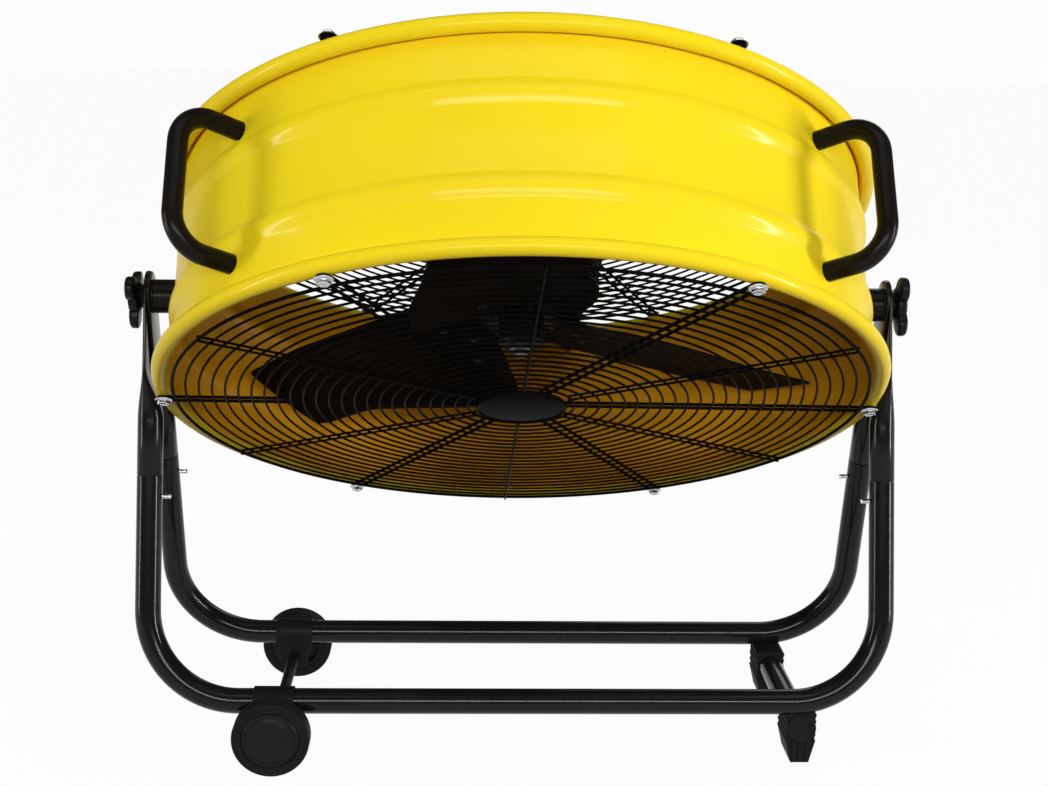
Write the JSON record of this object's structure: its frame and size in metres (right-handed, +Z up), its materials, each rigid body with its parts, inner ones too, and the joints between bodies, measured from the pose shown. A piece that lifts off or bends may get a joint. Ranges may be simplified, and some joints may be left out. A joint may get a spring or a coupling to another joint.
{
  "type": "drum fan",
  "caption": "Wheeled drum fan: a tilting round steel drum with wire guards and a paddle rotor, hung between tube frames with wheels and feet.",
  "frame": {"origin": "on the floor, directly below the line of the two tilt pivots, halfway between them", "axes": "+Z up; +X along the pivot line, from the wheels' end to the feet's end; +Y to the back"},
  "size_m": [0.739, 0.6758, 0.6917],
  "materials": {
    "yellow_paint": "glossy yellow powder coat",
    "black_paint": "glossy black enamel",
    "black_satin": "satin black paint",
    "black_wire": "semi-gloss black coating on steel wire",
    "chrome": "bright plated steel",
    "rubber": "matt moulded rubber",
    "tyre": "solid rubber tread",
    "black_plastic": "glossy moulded plastic",
    "matt_plastic": "fine grained moulded plastic",
    "steel": "plain turned steel",
    "cast_alloy": "painted die casting",
    "blade_paint": "semi-gloss black paint on sheet"
  },
  "bodies": {
    "stand": {"lower_frame_front": "black_paint", "lower_frame_rear": "black_paint", "leg_front_left": "black_paint", "leg_front_right": "black_paint", "leg_rear_left": "black_paint", "leg_rear_right": "black_paint", "leg_bolts": "chrome", "wheel_bracket_front": "black_paint", "wheel_bracket_rear": "black_paint", "wheel_axle": "black_paint", "foot_crossbar": "black_paint", "rubber_foot_front": "rubber", "rubber_foot_rear": "rubber"},
    "front_wheel": {"tyre_front": "tyre", "wheel_hub_front": "matt_plastic", "wheel_cap_front": "matt_plastic"},
    "rear_wheel": {"tyre_rear": "tyre", "wheel_hub_rear": "matt_plastic", "wheel_cap_rear": "matt_plastic"},
    "drum": {"centre_badge": "black_plastic", "control_box": "matt_plastic", "control_cover": "matt_plastic", "cord_gland": "matt_plastic", "drum_shell": "yellow_paint", "friction_washers_left": "matt_plastic", "friction_washers_right": "matt_plastic", "front_guard": "black_wire", "front_guard_screws": "chrome", "handle_left": "black_paint", "handle_right": "black_paint", "motor_bearings": "steel", "motor_bolts": "steel", "motor_bracket": "black_satin", "motor_can": "black_satin", "motor_front_bell": "cast_alloy", "motor_rear_bell": "cast_alloy", "motor_stator": "steel", "pivot_boss_left": "black_paint", "pivot_boss_right": "black_paint", "pivot_stud_left": "steel", "pivot_stud_right": "steel", "rear_guard": "black_wire", "rear_guard_screws": "chrome", "speed_switch": "matt_plastic"},
    "rotor": {"rotor_shaft": "steel", "rotor_core": "steel", "fan_spider": "blade_paint", "hub_nut": "steel", "blade_1": "blade_paint", "blade_2": "blade_paint", "blade_3": "blade_paint", "blade_rivets": "blade_paint"},
    "left_knob": {"tilt_knob_left": "black_plastic"},
    "right_knob": {"tilt_knob_right": "black_plastic"},
    "dial": {"speed_dial": "matt_plastic"}
  },
  "joints": [
    {"name": "drum_tilt", "type": "hinge", "parent": "stand", "child": "drum", "pos_m": [0, 0, 0.43], "axis": [1, 0, 0], "continuous": true},
    {"name": "fan_spin", "type": "hinge", "parent": "drum", "child": "rotor", "pos_m": [0, 0, 0.43], "axis": [0, -0.5255, -0.8508], "continuous": true},
    {"name": "front_wheel_roll", "type": "hinge", "parent": "stand", "child": "front_wheel", "pos_m": [-0.2295, 0, 0.0362], "axis": [0, 1, 0], "continuous": true},
    {"name": "rear_wheel_roll", "type": "hinge", "parent": "stand", "child": "rear_wheel", "pos_m": [-0.2295, 0, 0.0362], "axis": [0, 1, 0], "continuous": true},
    {"name": "left_knob_turn", "type": "hinge", "parent": "drum", "child": "left_knob", "pos_m": [0, 0, 0.43], "axis": [-1, 0, 0], "range_deg": [0, 450]},
    {"name": "right_knob_turn", "type": "hinge", "parent": "drum", "child": "right_knob", "pos_m": [0, 0, 0.43], "axis": [1, 0, 0], "range_deg": [0, 450]},
    {"name": "dial_turn", "type": "hinge", "parent": "drum", "child": "dial", "pos_m": [0, 0, 0.43], "axis": [0, -0.5255, -0.8508], "range_deg": [0, 270]}
  ]
}
